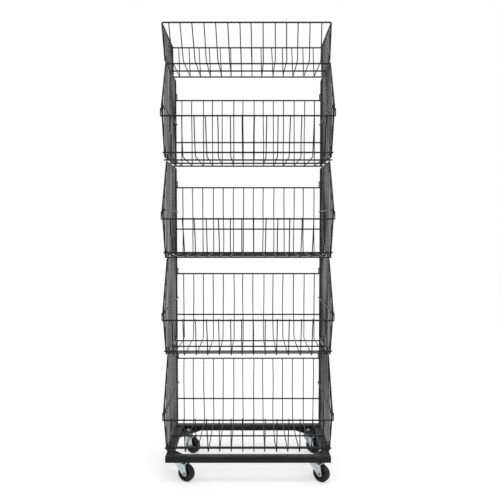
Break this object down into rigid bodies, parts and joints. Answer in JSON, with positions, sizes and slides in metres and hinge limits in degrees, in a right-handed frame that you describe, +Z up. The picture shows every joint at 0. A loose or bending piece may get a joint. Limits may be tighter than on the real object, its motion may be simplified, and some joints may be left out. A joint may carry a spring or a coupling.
{
  "type": "snack display rack",
  "caption": "Rolling floor rack of stacked wire baskets with hopper fronts and a shallow top basket, on a square-tube frame with swivel casters.",
  "frame": {"origin": "on the floor, under the middle of the rack's outline", "axes": "+Z up, -Y towards the open fronts of the baskets, +X to the right of someone who stands in front"},
  "size_m": [0.626, 0.3906, 1.6834],
  "materials": {
    "wire_coating": "semi-gloss black powder coat on steel wire",
    "frame_coating": "semi-gloss black powder coat on square steel tube",
    "zinc_sheet": "bright blue-white zinc plate on pressed steel",
    "zinc_fastener": "bright zinc plate on turned and forged steel",
    "wheel_core": "moulded black plastic",
    "tyre": "moulded black rubber"
  },
  "bodies": {
    "frame": {"dolly_frame": "frame_coating", "front_left_stem": "zinc_fastener", "front_left_stem_nut": "zinc_fastener", "front_left_swivel_balls": "zinc_fastener", "front_right_stem": "zinc_fastener", "front_right_stem_nut": "zinc_fastener", "front_right_swivel_balls": "zinc_fastener", "rear_left_stem": "zinc_fastener", "rear_left_stem_nut": "zinc_fastener", "rear_left_swivel_balls": "zinc_fastener", "rear_right_stem": "zinc_fastener", "rear_right_stem_nut": "zinc_fastener", "rear_right_swivel_balls": "zinc_fastener"},
    "basket_1": {"basket_1_tray": "wire_coating", "basket_1_left_side": "wire_coating", "basket_1_right_side": "wire_coating"},
    "basket_2": {"basket_2_tray": "wire_coating", "basket_2_left_side": "wire_coating", "basket_2_right_side": "wire_coating"},
    "basket_3": {"basket_3_tray": "wire_coating", "basket_3_left_side": "wire_coating", "basket_3_right_side": "wire_coating"},
    "basket_4": {"basket_4_tray": "wire_coating", "basket_4_left_side": "wire_coating", "basket_4_right_side": "wire_coating"},
    "top_basket": {"top_basket": "wire_coating"},
    "front_left_swivel": {"front_left_fork": "zinc_sheet", "front_left_axle_bolt": "zinc_fastener", "front_left_axle_nut": "zinc_fastener", "front_left_axle_sleeve": "zinc_fastener"},
    "front_left_wheel": {"front_left_wheel_core": "wheel_core", "front_left_tyre": "tyre"},
    "front_right_swivel": {"front_right_fork": "zinc_sheet", "front_right_axle_bolt": "zinc_fastener", "front_right_axle_nut": "zinc_fastener", "front_right_axle_sleeve": "zinc_fastener"},
    "front_right_wheel": {"front_right_wheel_core": "wheel_core", "front_right_tyre": "tyre"},
    "rear_left_swivel": {"rear_left_fork": "zinc_sheet", "rear_left_axle_bolt": "zinc_fastener", "rear_left_axle_nut": "zinc_fastener", "rear_left_axle_sleeve": "zinc_fastener"},
    "rear_left_wheel": {"rear_left_wheel_core": "wheel_core", "rear_left_tyre": "tyre"},
    "rear_right_swivel": {"rear_right_fork": "zinc_sheet", "rear_right_axle_bolt": "zinc_fastener", "rear_right_axle_nut": "zinc_fastener", "rear_right_axle_sleeve": "zinc_fastener"},
    "rear_right_wheel": {"rear_right_wheel_core": "wheel_core", "rear_right_tyre": "tyre"}
  },
  "joints": [
    {"name": "front_left_swivel_turn", "type": "hinge", "parent": "frame", "child": "front_left_swivel", "pos_m": [-0.253, -0.11321, 0.0755], "axis": [0, 0, 1], "continuous": true},
    {"name": "front_left_wheel_spin", "type": "hinge", "parent": "front_left_swivel", "child": "front_left_wheel", "pos_m": [-0.23004, -0.12542, 0.03175], "axis": [0.4695, 0.8829, 0], "continuous": true},
    {"name": "front_right_swivel_turn", "type": "hinge", "parent": "frame", "child": "front_right_swivel", "pos_m": [0.253, -0.11321, 0.0755], "axis": [0, 0, 1], "continuous": true},
    {"name": "front_right_wheel_spin", "type": "hinge", "parent": "front_right_swivel", "child": "front_right_wheel", "pos_m": [0.27321, -0.12957, 0.03175], "axis": [0.6293, 0.7771, 0], "continuous": true},
    {"name": "rear_left_swivel_turn", "type": "hinge", "parent": "frame", "child": "rear_left_swivel", "pos_m": [-0.253, 0.15079, 0.0755], "axis": [0, 0, 1], "continuous": true},
    {"name": "rear_left_wheel_spin", "type": "hinge", "parent": "rear_left_swivel", "child": "rear_left_wheel", "pos_m": [-0.2317, 0.13587, 0.03175], "axis": [0.5736, 0.8192, 0], "continuous": true},
    {"name": "rear_right_swivel_turn", "type": "hinge", "parent": "frame", "child": "rear_right_swivel", "pos_m": [0.253, 0.15079, 0.0755], "axis": [0, 0, 1], "continuous": true},
    {"name": "rear_right_wheel_spin", "type": "hinge", "parent": "rear_right_swivel", "child": "rear_right_wheel", "pos_m": [0.27349, 0.13478, 0.03175], "axis": [0.6157, 0.788, 0], "continuous": true},
    {"name": "basket_1_lift_off", "type": "slide", "parent": "frame", "child": "basket_1", "axis": [0, 0, 1], "range_m": [0, 0.06]},
    {"name": "basket_2_lift_off", "type": "slide", "parent": "basket_1", "child": "basket_2", "axis": [0, 0, 1], "range_m": [0, 0.06]},
    {"name": "basket_3_lift_off", "type": "slide", "parent": "basket_2", "child": "basket_3", "axis": [0, 0, 1], "range_m": [0, 0.06]},
    {"name": "basket_4_lift_off", "type": "slide", "parent": "basket_3", "child": "basket_4", "axis": [0, 0, 1], "range_m": [0, 0.06]},
    {"name": "top_basket_lift_off", "type": "slide", "parent": "basket_4", "child": "top_basket", "axis": [0, 0, 1], "range_m": [0, 0.06]}
  ]
}
